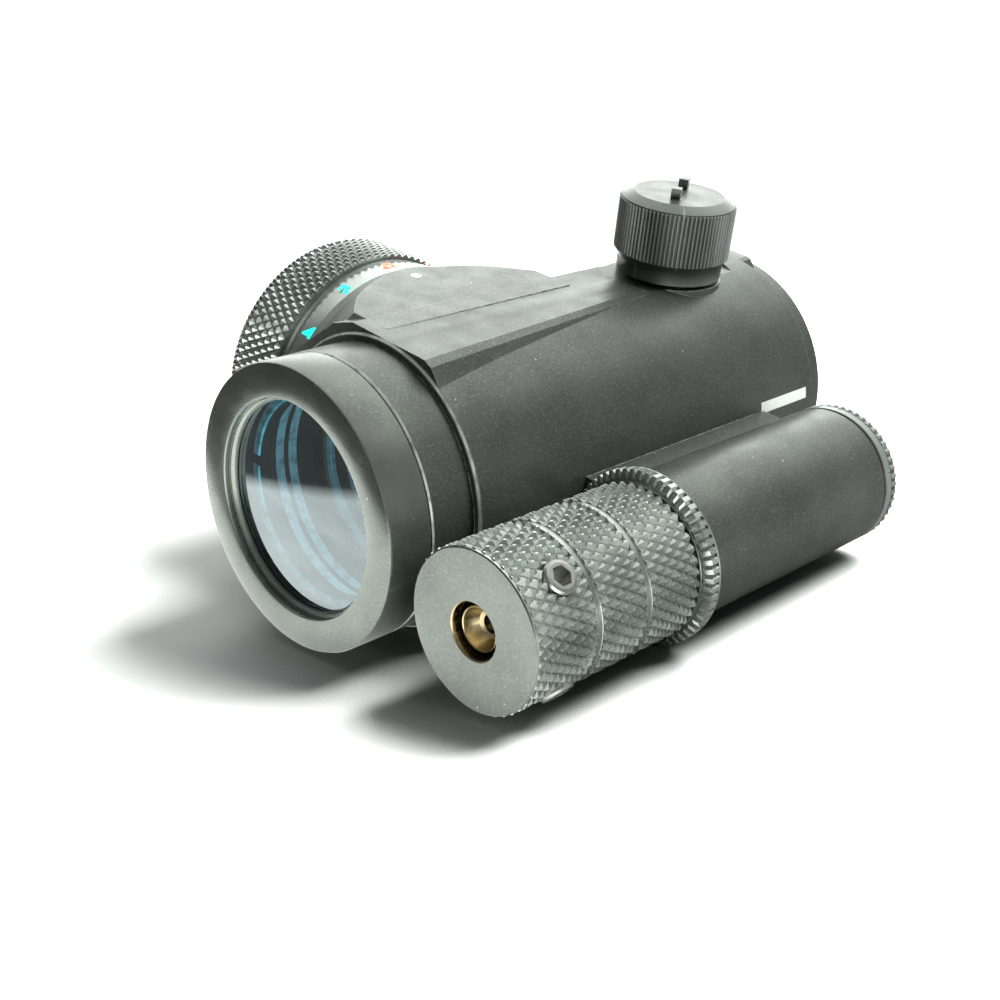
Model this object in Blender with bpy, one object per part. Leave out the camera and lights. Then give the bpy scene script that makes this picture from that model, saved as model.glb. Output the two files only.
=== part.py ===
"""Tube dot sight with an aiming laser at its side, built from separate pieces.

Units below are millimetres and degrees; every length is scaled to metres when a mesh is made.
Axes: +X to the laser, +Y from the objective to the eyepiece, +Z up. The origin is the centre
of the flat seat under the housing. Stations are measured from the front bezel's face for
pieces on the optical and laser axes, and from the optical axis for turrets and the dial.
"""
import math

import bmesh
import bpy
from mathutils import Matrix, Vector

MM = 0.001
GAP = 0.3            # gap between neighbours that would touch
SEGMENTS = 32        # facets round a large turned piece
SMALL_SEGMENTS = 20  # facets round a small one

# Overall layout
AXIS_HEIGHT = 15.0   # optical axis above the seat
FRONT_Y = -38.7      # front bezel's face
TURRET_Y = 55.2      # station of both turrets
DIAL_Y = 28.25       # station of the dial's axis
LASER_X = 25.42      # laser axis, to the right of the optical axis
LASER_Z = -1.42      # and a little below it

# Housing
NECK_RADIUS = 15.0
NECK_FRONT = 5.4
BODY_RADIUS = 15.88
BODY_FRONT = 10.83
BODY_STEP = 66.8     # where the rear rim starts
RIM_RADIUS = 14.9
BODY_REAR = 70.2
BORE_RADIUS = 12.6
THREAD_RADIUS = 13.0
CROWN_TOP = 16.0
TRIM = 2.0           # stock left on the housing's tools, cut away by the front face and the seat
BOSS_END = 16.1      # dial boss, measured to the left
BOSS_Y = 26.6        # centre of the boss's flank
SADDLE_RADIUS = 8.3

# Optics
SPIGOT_RADIUS = THREAD_RADIUS - GAP
OPENING_RADIUS = 11.2
GLASS_RADIUS = 11.6
LENS_FRONT = 0.9     # front of the objective lens, on the axis
LENS_BULGE = 0.7
LENS_EDGE = 2.0      # thickness at the rim
LENS_SEAT = LENS_FRONT + LENS_BULGE - GAP
TUBE_RADIUS = 10.7
TUBE_BORE = 9.9
TUBE_PIVOT = 14.0    # station of the inner tube's pivot ring

# Turrets
STEM_RADIUS = 4.6
CAP_RADIUS = 6.8
CAP_FOOT = 15.75
CAP_WAIST = 18.2     # lower end of the knurl
CAP_SHOULDER = 24.3
CAP_TOP = 25.1
CAP_FACE = 5.3       # radius of the flat top
TURRET_BASE = 6.3    # radius of the pad round a stem
PRONG_SIZE = 1.1
PRONG_SPREAD = 4.8   # between the prongs' centres
PRONG_TURN = 119.0   # direction of their line at rest, about the cap's axis
PRONG_HEIGHT = 1.2

# Dial and battery
DIAL_FACE = BOSS_END + GAP
KNOB_RADIUS = 15.31
KNOB_START = 20.9
KNOB_END = 28.0
WELL_RADIUS = 12.2
WELL_END = 27.0
CELL_RADIUS = 10.0
COVER_END = 29.3
COVER_RADIUS = 14.95

# Laser
SLEEVE_RADIUS = 8.2
SLEEVE_FRONT = 1.0
SLEEVE_REAR = 23.4
RING_RADIUS = 9.26
BARREL_RADIUS = 8.0
BARREL_FRONT = 25.8
BARREL_REAR = 56.6
BARREL_BORE = 6.4
NOSE_RADIUS = 6.4    # threaded front end of the barrel
MODULE_RADIUS = 3.3
MODULE_PIVOT = 10.4
SCREW_STATION = 6.1
SCREW_ANGLES = {"upper": 52.0, "lower": -38.0}
TAIL_END = 59.3

# A datum is a point and the direction in which its stations run.
OPTICS = (Vector((0, FRONT_Y, AXIS_HEIGHT)), "rear")
LASER = (Vector((LASER_X, FRONT_Y, AXIS_HEIGHT + LASER_Z)), "rear")
ELEVATION = (Vector((0, FRONT_Y + TURRET_Y, AXIS_HEIGHT)), "up")
WINDAGE = (Vector((0, FRONT_Y + TURRET_Y, AXIS_HEIGHT)), "left")
DIAL = (Vector((0, FRONT_Y + DIAL_Y, AXIS_HEIGHT)), "left")
BOSS = (Vector((0, FRONT_Y + BOSS_Y, AXIS_HEIGHT)), "left")
TURN = {
    "rear": (-math.pi / 2, 0, 0),
    "left": (0, -math.pi / 2, 0),
    "up": (0, 0, 0),
}

# Finishes: colour, roughness, metallic
FINISHES = {
    "anodised": ((0.060, 0.065, 0.062), 0.42, 0.75),
    "anodised_knurl": ((0.050, 0.054, 0.052), 0.48, 0.75),
    "steel": ((0.55, 0.55, 0.54), 0.30, 1.0),
    "brass": ((0.78, 0.57, 0.27), 0.28, 1.0),
    "glass": ((0.55, 0.70, 0.78), 0.05, 0.0),
    "rubber": ((0.03, 0.03, 0.03), 0.75, 0.0),
    "board": ((0.04, 0.16, 0.08), 0.55, 0.0),
    "cell": ((0.72, 0.72, 0.70), 0.25, 1.0),
    "plastic": ((0.08, 0.08, 0.08), 0.60, 0.0),
}


def finish(name):
    """Return the named material, made on first use."""
    material = bpy.data.materials.get(name)
    if material is None:
        colour, roughness, metallic = FINISHES[name]
        material = bpy.data.materials.new(name)
        material.use_nodes = True
        shader = material.node_tree.nodes["Principled BSDF"]
        shader.inputs["Base Color"].default_value = (*colour, 1.0)
        shader.inputs["Roughness"].default_value = roughness
        shader.inputs["Metallic"].default_value = metallic
    return material


def place(name, shape, material, datum):
    """Turn a bmesh in millimetres into an object in metres, standing on its datum."""
    bmesh.ops.scale(shape, vec=(MM, MM, MM), verts=shape.verts)
    bmesh.ops.recalc_face_normals(shape, faces=shape.faces)
    mesh = bpy.data.meshes.new(name)
    shape.to_mesh(mesh)
    shape.free()
    mesh.shade_smooth()
    mesh.set_sharp_from_angle(angle=math.radians(32))
    piece = bpy.data.objects.new(name, mesh)
    point, direction = datum
    piece.location = point * MM
    piece.rotation_euler = TURN[direction]
    piece.data.materials.append(finish(material))
    bpy.context.scene.collection.objects.link(piece)
    return piece


def turned(name, outline, material, datum, segments=SEGMENTS):
    """A turned piece from (radius, station) points.

    An outline that starts on the axis is a solid; any other is closed into a ring.
    """
    shape = bmesh.new()
    points = [shape.verts.new((radius, 0, station)) for radius, station in outline]
    edges = [shape.edges.new(pair) for pair in zip(points, points[1:])]
    if outline[0][0] > 0:
        edges.append(shape.edges.new((points[-1], points[0])))
    bmesh.ops.spin(shape, geom=points + edges, axis=(0, 0, 1), cent=(0, 0, 0),
                   steps=segments, angle=math.tau, use_merge=True)
    bmesh.ops.remove_doubles(shape, verts=shape.verts, dist=0.0001)
    return place(name, shape, material, datum)


def tube(name, inner, outer, start, end, material, datum, segments=SEGMENTS):
    """A plain ring between two radii and two stations."""
    outline = [(inner, start), (outer, start), (outer, end), (inner, end)]
    return turned(name, outline, material, datum, segments)


def rod(name, radius, start, end, material, datum, segments=SMALL_SEGMENTS):
    """A plain solid cylinder between two stations."""
    outline = [(0, start), (radius, start), (radius, end), (0, end)]
    return turned(name, outline, material, datum, segments)


def block(name, low, high, material, datum=OPTICS):
    """A box between two corners (x, station, z), measured from the datum's point."""
    size = Vector(high) - Vector(low)
    centre = (Vector(high) + Vector(low)) / 2
    shape = bmesh.new()
    bmesh.ops.create_cube(shape, size=1.0)
    bmesh.ops.transform(shape, matrix=Matrix.Translation(centre) @ Matrix.Diagonal((*size, 1)),
                        verts=shape.verts)
    return place(name, shape, material, (datum[0], "up"))


def loft(name, front, rear, start, end, material):
    """A solid between two outlines (x, z) of the same number of points, at two stations."""
    shape = bmesh.new()
    first = [shape.verts.new((x, start, z)) for x, z in front]
    last = [shape.verts.new((x, end, z)) for x, z in rear]
    shape.faces.new(first)
    shape.faces.new(reversed(last))
    count = len(front)
    for index in range(count):
        following = (index + 1) % count
        shape.faces.new((first[index], last[index], last[following], first[following]))
    return place(name, shape, material, (OPTICS[0], "up"))


def coil(name, radius, wire, start, end, turns, material, datum, sides=5, steps=10):
    """A helical spring swept along its axis, with flat closed ends."""
    shape = bmesh.new()
    rings = []
    total = round(turns * steps)
    for index in range(total + 1):
        angle = math.tau * index / steps
        station = start + wire + (end - start - 2 * wire) * index / total
        out = Vector((math.cos(angle), math.sin(angle), 0))
        ring = []
        for side in range(sides):
            around = math.tau * side / sides
            point = out * (radius + wire * math.cos(around))
            ring.append(shape.verts.new(point + Vector((0, 0, station + wire * math.sin(around)))))
        rings.append(ring)
    for near, far in zip(rings, rings[1:]):
        for side in range(sides):
            following = (side + 1) % sides
            shape.faces.new((near[side], near[following], far[following], far[side]))
    shape.faces.new(rings[0])
    shape.faces.new(reversed(rings[-1]))
    return place(name, shape, material, datum)


def combine(target, tools, operation):
    """Join, cut or clip the target with one or more tools, which are left out of the part."""
    step = target.modifiers.new(operation.lower(), "BOOLEAN")
    step.operation = operation
    step.solver = "EXACT"
    step.operand_type = "COLLECTION"
    step.collection = bpy.data.collections.new(f"{target.name} {operation.lower()} tools")
    bpy.context.scene.collection.children.link(step.collection)
    for tool in tools:
        tool.hide_render = True
        tool.display_type = "WIRE"
        bpy.context.scene.collection.objects.unlink(tool)
        step.collection.objects.link(tool)
    return target


def crown():
    """Flat-topped rib along the housing, whose right flank runs out towards the rear."""
    front = [(-8.5, 14.9), (-5.2, CROWN_TOP), (5.9, 15.75), (6.9, 15.3), (8.6, 13.3),
             (8.6, 8.0), (-8.5, 8.0)]
    rear = [(-5.6, 14.1), (-4.6, 15.85), (1.4, 15.72), (2.0, 15.55), (3.2, 14.2),
            (3.2, 8.0), (-5.6, 8.0)]
    return loft("crown tool", front, rear, BODY_FRONT - TRIM, 69.0, "anodised")


def dial_boss():
    """Left shoulder and the tapered boss that carries the dial."""
    outline = [(0, 2), (20.9, 2), (20.9, 7.4), (18.8, 11.1), (16.4, 14.2), (15.6, BOSS_END),
               (0, BOSS_END)]
    boss = turned("boss tool", outline, "anodised", BOSS)
    low = (-BOSS_END - 1, BODY_FRONT - TRIM, -AXIS_HEIGHT - TRIM)
    high = (-1, 60, CROWN_TOP - 0.05)
    clip = block("boss clip tool", low, high, "anodised")
    return combine(boss, [clip], "INTERSECT")


def shoulder():
    """Sloping left shoulder between the crown and the dial boss."""
    bottom = -AXIS_HEIGHT - 0.5
    side = [(-3, 14.4), (-8.3, 14.8), (-14.2, 9.9), (-14.2, -9.9), (-8.0, bottom), (-3, bottom)]
    return loft("shoulder tool", side, side, BODY_FRONT - TRIM, 41.3, "anodised")


def detent_datum():
    """Axis of the detent, near the dial's front edge."""
    return (Vector((0, FRONT_Y + DIAL_Y - 14.7, AXIS_HEIGHT)), "left")


def housing_cuts():
    """Everything that is cut out of the housing: faces, bores and holes."""
    bore = [(0, 0), (THREAD_RADIUS, 0), (THREAD_RADIUS, 12.2), (BORE_RADIUS, 12.2),
            (BORE_RADIUS, 61.4), (THREAD_RADIUS, 61.4), (THREAD_RADIUS, 80), (0, 80)]
    cuts = [
        turned("bore tool", bore, "anodised", OPTICS),
        tube("front face tool", NECK_RADIUS, 40, 0, BODY_FRONT, "anodised", OPTICS, 48),
        rod("saddle nest tool", SADDLE_RADIUS, 20, 62, "anodised", LASER, SEGMENTS),
        rod("cable hole tool", 1.6, 8, 22, "anodised", DIAL, 20),
        rod("detent hole tool", 0.8, 13.1, 20, "anodised", detent_datum(), 16),
        block("seat tool", (-30, -5, -30), (30, 80, -AXIS_HEIGHT), "anodised"),
    ]
    for label, datum in (("elevation", ELEVATION), ("windage", WINDAGE)):
        well = [(0, 5), (1.9, 5), (1.9, 13.9), (3.0, 13.9), (3.0, 30), (0, 30)]
        cuts.append(turned(f"{label} well tool", well, "anodised", datum, SMALL_SEGMENTS))
        cuts.append(tube(f"{label} face tool", STEM_RADIUS, 8.6, CAP_FOOT - GAP, 30, "anodised",
                         datum, SEGMENTS))
    for label, station in (("front", 24.7), ("rear", 52.7)):
        low = (Vector((0, FRONT_Y + station, 0)), "up")
        cuts.append(rod(f"{label} base hole tool", 1.25, -3, 2.0, "anodised", low))
    return cuts


def main_housing():
    """Tube body with its crown, dial boss, turret stems, laser saddle and flat seat."""
    outline = [(0, NECK_FRONT), (NECK_RADIUS - 0.2, NECK_FRONT), (NECK_RADIUS, NECK_FRONT + 0.2),
               (NECK_RADIUS, BODY_FRONT - TRIM), (BODY_RADIUS, BODY_FRONT - TRIM),
               (BODY_RADIUS, BODY_STEP), (RIM_RADIUS, BODY_STEP + 1.4),
               (RIM_RADIUS, BODY_REAR - 0.4), (RIM_RADIUS - 0.4, BODY_REAR), (0, BODY_REAR)]
    housing = turned("main_housing", outline, "anodised", OPTICS, segments=48)
    additions = [
        crown(),
        dial_boss(),
        shoulder(),
        block("saddle tool", (11, 26.1, -5.8), (21.6, 57.0, 3.0), "anodised"),
        rod("elevation base tool", TURRET_BASE, 10.5, 20.4, "anodised", ELEVATION, SEGMENTS),
        rod("windage base tool", TURRET_BASE, 10.5, 20.4, "anodised", WINDAGE, SEGMENTS),
    ]
    combine(housing, additions, "UNION")
    combine(housing, housing_cuts(), "DIFFERENCE")
    return housing


def bezel_outline():
    """Objective bezel: chamfered ring with a lens seat and a threaded spigot."""
    return [(OPENING_RADIUS, 0.25), (OPENING_RADIUS + 0.25, 0), (NECK_RADIUS - 0.35, 0),
            (NECK_RADIUS, 0.35), (NECK_RADIUS, NECK_FRONT - GAP - 0.15),
            (NECK_RADIUS - 0.15, NECK_FRONT - GAP), (SPIGOT_RADIUS, NECK_FRONT - GAP),
            (SPIGOT_RADIUS, 11.9), (GLASS_RADIUS + GAP, 11.9), (GLASS_RADIUS + GAP, LENS_SEAT),
            (OPENING_RADIUS, LENS_SEAT)]


def lens_outline(rings=3):
    """Glass disc whose front bulges as a shallow sphere and whose back is hollowed less."""
    parts = [step / rings for step in range(rings + 1)]
    front_side = [(GLASS_RADIUS * part, LENS_FRONT + LENS_BULGE * part ** 2) for part in parts]
    back = LENS_FRONT + LENS_BULGE + LENS_EDGE
    hollow = 0.4 * LENS_BULGE
    back_side = [(GLASS_RADIUS * part, back - hollow * (1 - part ** 2))
                 for part in reversed(parts)]
    return front_side + back_side


def optics():
    """Front and rear glass with their bezels, and the aiming tube between them."""
    turned("objective_bezel", bezel_outline(), "anodised", OPTICS, 48)
    turned("objective_lens", lens_outline(), "glass", OPTICS)
    retainer = LENS_FRONT + LENS_BULGE + LENS_EDGE + GAP
    tube("objective_retainer", 10.6, GLASS_RADIUS, retainer, retainer + 2.0, "anodised_knurl",
         OPTICS, 32)
    eyepiece = [(10.6, BODY_REAR + 1.8), (10.6, 68.4), (GLASS_RADIUS + GAP, 68.4),
                (GLASS_RADIUS + GAP, 62.0), (SPIGOT_RADIUS, 62.0), (SPIGOT_RADIUS, BODY_REAR + GAP),
                (13.4, BODY_REAR + GAP), (13.4, BODY_REAR + 1.5), (13.1, BODY_REAR + 1.8)]
    turned("eyepiece_bezel", eyepiece, "anodised", OPTICS)
    window = [(0, 66.2), (GLASS_RADIUS, 66.2), (GLASS_RADIUS, 68.1), (0, 68.1)]
    turned("eyepiece_window", window, "glass", OPTICS)
    tube("eyepiece_retainer", 10.6, GLASS_RADIUS, 64.0, 65.9, "anodised_knurl", OPTICS, 32)
    aiming_tube()


def aiming_tube():
    """Inner tube with its pivot ring, dot emitter and the spring that pushes it back."""
    pivot = (OPTICS[0] + Vector((0, TUBE_PIVOT, 0)), "rear")
    front, rear = 13.0 - TUBE_PIVOT, 60.8 - TUBE_PIVOT
    barrel = tube("inner_tube", TUBE_BORE, TUBE_RADIUS, front, rear, "anodised_knurl", pivot, 32)
    sight_slot = block("emitter slot tool", (-2.4, 54.0, -12), (2.4, 59.0, -8), "anodised")
    combine(barrel, [sight_slot], "DIFFERENCE")
    tube("tube_pivot_ring", 11.0, 12.3, -1.2, 1.2, "brass", pivot, 32)
    block("emitter_bracket", (-2.0, 54.4, -10.4), (2.0, 58.6, -8.6), "plastic")
    emitter = (OPTICS[0] + Vector((0, 0, -7.6)), "rear")
    rod("dot_emitter", 0.7, 55.4, 57.6, "steel", emitter, 16)
    spring_leaf()


def spring_leaf(start=46.0, end=57.0, inner=11.6, steps=6):
    """Curved steel leaf opposite both adjusting screws."""
    shape = bmesh.new()
    sections = []
    for index in range(steps + 1):
        angle = math.radians(-62 + 34 * index / steps)
        out = Vector((math.cos(angle), 0, math.sin(angle)))
        corners = [(inner, start), (inner + 0.35, start), (inner + 0.35, end), (inner, end)]
        sections.append([shape.verts.new(out * radius + Vector((0, station, 0)))
                         for radius, station in corners])
    for near, far in zip(sections, sections[1:]):
        for side in range(4):
            following = (side + 1) % 4
            shape.faces.new((near[side], near[following], far[following], far[side]))
    shape.faces.new(sections[0])
    shape.faces.new(reversed(sections[-1]))
    place("return_spring", shape, "steel", (OPTICS[0], "up"))


def turret(label, datum):
    """An adjusting screw and the cap over it, whose two prongs fit the screw's slot."""
    screw = [(0, 11.1), (1.5, 11.1), (1.5, 14.2), (2.7, 14.2), (2.7, 19.0), (2.5, 19.2), (0, 19.2)]
    head = turned(f"{label}_screw", screw, "steel", datum, SMALL_SEGMENTS)
    slot = block(f"{label} slot tool", (-4, -0.6, 18.2), (4, 0.6, 22), "steel")
    slot.location, slot.rotation_euler = head.location, head.rotation_euler
    combine(head, [slot], "DIFFERENCE")
    outline = [(0, CAP_TOP), (CAP_FACE, CAP_TOP), (CAP_RADIUS, CAP_SHOULDER),
               (CAP_RADIUS, CAP_WAIST), (6.2, 17.4), (6.2, CAP_FOOT), (STEM_RADIUS + GAP, CAP_FOOT),
               (STEM_RADIUS + GAP, 20.9), (0, 20.9)]
    cap = turned(f"{label}_cap", outline, "anodised_knurl", datum)
    across = cap.rotation_euler.to_matrix() @ Matrix.Rotation(math.radians(PRONG_TURN), 3, "Z")
    prongs = []
    for side in (-1, 1):
        centre = side * PRONG_SPREAD / 2
        low = (centre - PRONG_SIZE / 2, -PRONG_SIZE / 2, CAP_TOP - 0.5)
        high = (centre + PRONG_SIZE / 2, PRONG_SIZE / 2, CAP_TOP + PRONG_HEIGHT)
        prong = block(f"{label} prong tool {side}", low, high, "anodised")
        prong.location, prong.rotation_euler = cap.location, across.to_euler()
        prongs.append(prong)
    combine(cap, prongs, "UNION")


def dial():
    """Brightness dial, the battery well it turns on, and the coin-slotted cover."""
    recess = DIAL_FACE + 3.5
    skirt = [(12.5, recess), (12.5, KNOB_END), (KNOB_RADIUS - 0.5, KNOB_END),
             (KNOB_RADIUS, KNOB_END - 0.5), (KNOB_RADIUS, KNOB_START), (14.9, KNOB_START - 0.6),
             (15.5, DIAL_FACE), (13.9, DIAL_FACE), (13.9, recess)]
    turned("dial_knob", skirt, "anodised_knurl", DIAL)
    well = [(1.6, DIAL_FACE), (WELL_RADIUS, DIAL_FACE), (WELL_RADIUS, WELL_END),
            (CELL_RADIUS + 0.4, WELL_END), (CELL_RADIUS + 0.4, 20.6), (1.6, 20.6)]
    turned("battery_well", well, "anodised", DIAL)
    tube("switch_board", WELL_RADIUS + 0.2, 13.6, DIAL_FACE, DIAL_FACE + 0.9, "board", DIAL, 36)
    wiper_arc()
    rod("coin_cell", CELL_RADIUS, 22.8, 26.0, "cell", DIAL, 32)
    coil("battery_spring", 4.0, 0.25, 20.9, 22.6, 2, "steel", DIAL)
    cover = [(0, COVER_END), (COVER_RADIUS - 0.5, COVER_END), (COVER_RADIUS, COVER_END - 0.4),
             (COVER_RADIUS, KNOB_END + GAP), (10.1, KNOB_END + GAP), (10.1, 26.3), (0, 26.3)]
    lid = turned("battery_cover", cover, "anodised_knurl", DIAL)
    coin_slot = block("coin slot tool", (-7.5, -0.8, COVER_END - 1.1), (7.5, 0.8, 35), "anodised")
    coin_slot.location, coin_slot.rotation_euler = lid.location, lid.rotation_euler
    combine(lid, [coin_slot], "DIFFERENCE")
    tube("battery_seal", 10.6, 11.9, WELL_END + 0.2, KNOB_END + 0.1, "rubber", DIAL, 40)
    ball = [(0.5 * math.sin(math.pi * i / 8), 15.45 - 0.5 * math.cos(math.pi * i / 8))
            for i in range(9)]
    ball[0], ball[-1] = (0, ball[0][1]), (0, ball[-1][1])
    turned("detent_ball", ball, "steel", detent_datum(), 12)
    coil("detent_spring", 0.42, 0.12, 13.3, 14.8, 3, "steel", detent_datum(), 4, 10)


def wiper_arc(steps=6):
    """Sprung contact that the dial drags round the switch board."""
    start = DIAL_FACE + 1.4
    shape = bmesh.new()
    sections = []
    for index in range(steps + 1):
        angle = math.radians(-18 + 36 * index / steps)
        out = Vector((math.cos(angle), math.sin(angle), 0))
        corners = [(12.8, start), (13.6, start), (13.6, start + 1.6), (12.8, start + 1.6)]
        sections.append([shape.verts.new(out * radius + Vector((0, 0, station)))
                         for radius, station in corners])
    for near, far in zip(sections, sections[1:]):
        for side in range(4):
            following = (side + 1) % 4
            shape.faces.new((near[side], near[following], far[following], far[side]))
    shape.faces.new(sections[0])
    shape.faces.new(reversed(sections[-1]))
    place("switch_wiper", shape, "brass", DIAL)


def sleeve_outline():
    """Front sleeve of the laser, with two turned grooves, a diode pocket and a thread."""
    outside = [(SLEEVE_RADIUS - 0.2, SLEEVE_FRONT), (SLEEVE_RADIUS, SLEEVE_FRONT + 0.2)]
    for groove in (9.17, 16.06):
        outside += [(SLEEVE_RADIUS, groove - 0.35), (SLEEVE_RADIUS - 0.3, groove),
                    (SLEEVE_RADIUS, groove + 0.35)]
    outside += [(SLEEVE_RADIUS, SLEEVE_REAR - 0.2), (SLEEVE_RADIUS - 0.2, SLEEVE_REAR)]
    inside = [(NOSE_RADIUS + GAP, SLEEVE_REAR), (NOSE_RADIUS + GAP, 12.2), (4.1, 12.2),
              (4.1, 2.2), (2.84, 2.2), (2.84, SLEEVE_FRONT)]
    return outside + inside


def set_screw(label, angle):
    """Hex-socket grub screw that bears on the laser module."""
    out = Vector((math.cos(math.radians(angle)), 0, math.sin(math.radians(angle))))
    origin = LASER[0] + Vector((0, SCREW_STATION, 0))
    upright = out.to_track_quat("Z", "Y").to_euler()
    outline = [(0, 3.75), (0.9, 3.75), (1.45, 4.3), (1.45, 8.3), (1.25, 8.5), (0, 8.5)]
    screw = turned(f"set_screw_{label}", outline, "steel", (origin, "up"), 18)
    socket = rod(f"{label} socket tool", 0.78, 7.0, 9.5, "steel", (origin, "up"), 6)
    hole = rod(f"{label} screw hole tool", 1.6, 3.0, 12.0, "anodised", (origin, "up"), 18)
    for piece in (screw, socket, hole):
        piece.rotation_euler = upright
    combine(screw, [socket], "DIFFERENCE")
    return hole


def laser():
    """Laser barrel in its saddle, with its knurled head, cells and push-button tail."""
    sleeve = turned("laser_sleeve", sleeve_outline(), "anodised_knurl", LASER)
    holes = [set_screw(label, angle) for label, angle in SCREW_ANGLES.items()]
    combine(sleeve, holes, "DIFFERENCE")
    tube("lock_ring", NOSE_RADIUS + GAP, RING_RADIUS, SLEEVE_REAR + GAP, BARREL_FRONT - GAP,
         "anodised_knurl", LASER)
    pivot = (LASER[0] + Vector((0, MODULE_PIVOT, 0)), "rear")
    module = [(0.95, 3.2), (1.9, 2.2), (2.1, 1.5), (2.3, 1.7), (2.3, 3.6), (MODULE_RADIUS, 3.6),
              (MODULE_RADIUS, 13.4), (0.95, 13.4), (0.95, 7.4), (2.0, 7.4), (2.0, 4.3),
              (0.95, 4.3)]
    shifted = [(radius, station - MODULE_PIVOT) for radius, station in module]
    turned("laser_module", shifted, "brass", pivot, 24)
    rod("laser_lens", 1.7, 4.7 - MODULE_PIVOT, 6.6 - MODULE_PIVOT, "glass", pivot, 20)
    tube("module_ring", MODULE_RADIUS + 0.1, 3.95, -0.6, 0.6, "rubber", pivot, 24)
    barrel = [(5.2, 14.0), (NOSE_RADIUS, 14.0), (NOSE_RADIUS, BARREL_FRONT),
              (BARREL_RADIUS - 0.2, BARREL_FRONT), (BARREL_RADIUS, BARREL_FRONT + 0.2),
              (BARREL_RADIUS, BARREL_REAR), (BARREL_BORE, BARREL_REAR), (BARREL_BORE, 30.0),
              (5.2, 30.0)]
    turned("laser_barrel", barrel, "anodised", LASER)
    block("laser_board", (-4.2, 15.0, -0.5), (4.2, 31.0, 0.5), "board", LASER)
    coil("laser_spring", 3.4, 0.3, 32.0, 37.0, 4, "steel", LASER)
    for index in range(3):
        start = 37.3 + 5.7 * index
        rod(f"laser_cell_{index + 1}", 5.8, start, start + 5.4, "cell", LASER, 24)
    cap = [(3.9, TAIL_END), (3.9, 57.9), (5.0, 57.9), (5.0, 55.0), (BARREL_BORE - GAP, 55.0),
           (BARREL_BORE - GAP, BARREL_REAR + GAP), (BARREL_RADIUS, BARREL_REAR + GAP),
           (BARREL_RADIUS, TAIL_END - 0.5), (BARREL_RADIUS - 0.45, TAIL_END)]
    turned("tail_cap", cap, "anodised_knurl", LASER)
    button = [(0, TAIL_END + 1.0), (3.3, TAIL_END + 1.0), (3.6, TAIL_END + 0.7), (3.6, 57.5),
              (4.6, 57.5), (4.6, 56.5), (0, 56.5)]
    turned("tail_button", button, "rubber", LASER, 24)


def main():
    for leftover in list(bpy.data.objects):
        bpy.data.objects.remove(leftover, do_unlink=True)
    main_housing()
    optics()
    turret("elevation", ELEVATION)
    turret("windage", WINDAGE)
    dial()
    laser()


main()
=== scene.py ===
"""Looks of the tube dot sight with its aiming laser: fine surfaces, finishes, light and camera.

Lengths are in millimetres and angles in degrees unless a name says otherwise. Places and main
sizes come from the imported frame. A datum is a point and the direction in which stations run:
from the front bezel's face towards the rear for pieces on the optical and laser axes, and
outwards from the optical axis for the turrets and the dial.
"""
import math

import bmesh
import bpy
from mathutils import Matrix, Vector

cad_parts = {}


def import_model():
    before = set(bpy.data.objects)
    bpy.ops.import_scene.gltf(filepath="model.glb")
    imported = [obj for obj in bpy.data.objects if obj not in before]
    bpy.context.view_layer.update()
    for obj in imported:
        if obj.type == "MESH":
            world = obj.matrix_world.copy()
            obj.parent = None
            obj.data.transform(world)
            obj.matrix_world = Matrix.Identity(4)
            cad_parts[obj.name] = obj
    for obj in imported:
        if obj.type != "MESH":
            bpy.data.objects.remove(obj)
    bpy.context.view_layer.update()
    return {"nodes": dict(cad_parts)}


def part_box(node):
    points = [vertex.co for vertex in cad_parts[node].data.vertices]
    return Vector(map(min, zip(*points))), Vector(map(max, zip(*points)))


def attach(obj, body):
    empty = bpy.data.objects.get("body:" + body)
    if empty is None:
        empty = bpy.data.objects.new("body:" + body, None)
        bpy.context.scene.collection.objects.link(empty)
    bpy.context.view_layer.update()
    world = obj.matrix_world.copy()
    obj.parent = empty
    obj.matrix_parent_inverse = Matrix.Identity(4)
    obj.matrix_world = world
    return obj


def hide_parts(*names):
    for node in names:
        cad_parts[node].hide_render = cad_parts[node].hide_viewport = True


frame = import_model()
MM = 0.001


def low_corner(node):
    """Lowest corner of a CAD node in millimetres."""
    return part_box(node)[0] / MM


def high_corner(node):
    """Highest corner of a CAD node in millimetres."""
    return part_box(node)[1] / MM


def middle(node):
    """Centre of a CAD node's box in millimetres."""
    return (low_corner(node) + high_corner(node)) / 2


def extent(node):
    """Size of a CAD node's box in millimetres."""
    return high_corner(node) - low_corner(node)


def front_of(node):
    """Station of a CAD node's front end, counted from the front bezel's face."""
    return low_corner(node).y - FRONT_Y


def rear_of(node):
    """Station of a CAD node's rear end."""
    return high_corner(node).y - FRONT_Y


def on_axis(station):
    """Point of the optical axis at a station."""
    return Vector((0, FRONT_Y + station, AXIS_HEIGHT))


# Datums, read from the frame
FRONT_Y = low_corner("objective_bezel").y
AXIS_HEIGHT = middle("objective_bezel").z
TURRET_Y = middle("elevation_cap").y - FRONT_Y
DIAL_Y = middle("dial_knob").y - FRONT_Y
OPTICS = (on_axis(0), "rear")
LASER = (Vector((middle("laser_sleeve").x, FRONT_Y, middle("laser_sleeve").z)), "rear")
ELEVATION = (on_axis(TURRET_Y), "up")
WINDAGE = (on_axis(TURRET_Y), "left")
TURRETS = {"elevation": ELEVATION, "windage": WINDAGE}
DIAL = (on_axis(DIAL_Y), "left")
TURN = {
    "rear": (-math.pi / 2, 0, 0),
    "left": (0, -math.pi / 2, 0),
    "up": (0, 0, 0),
}

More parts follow.
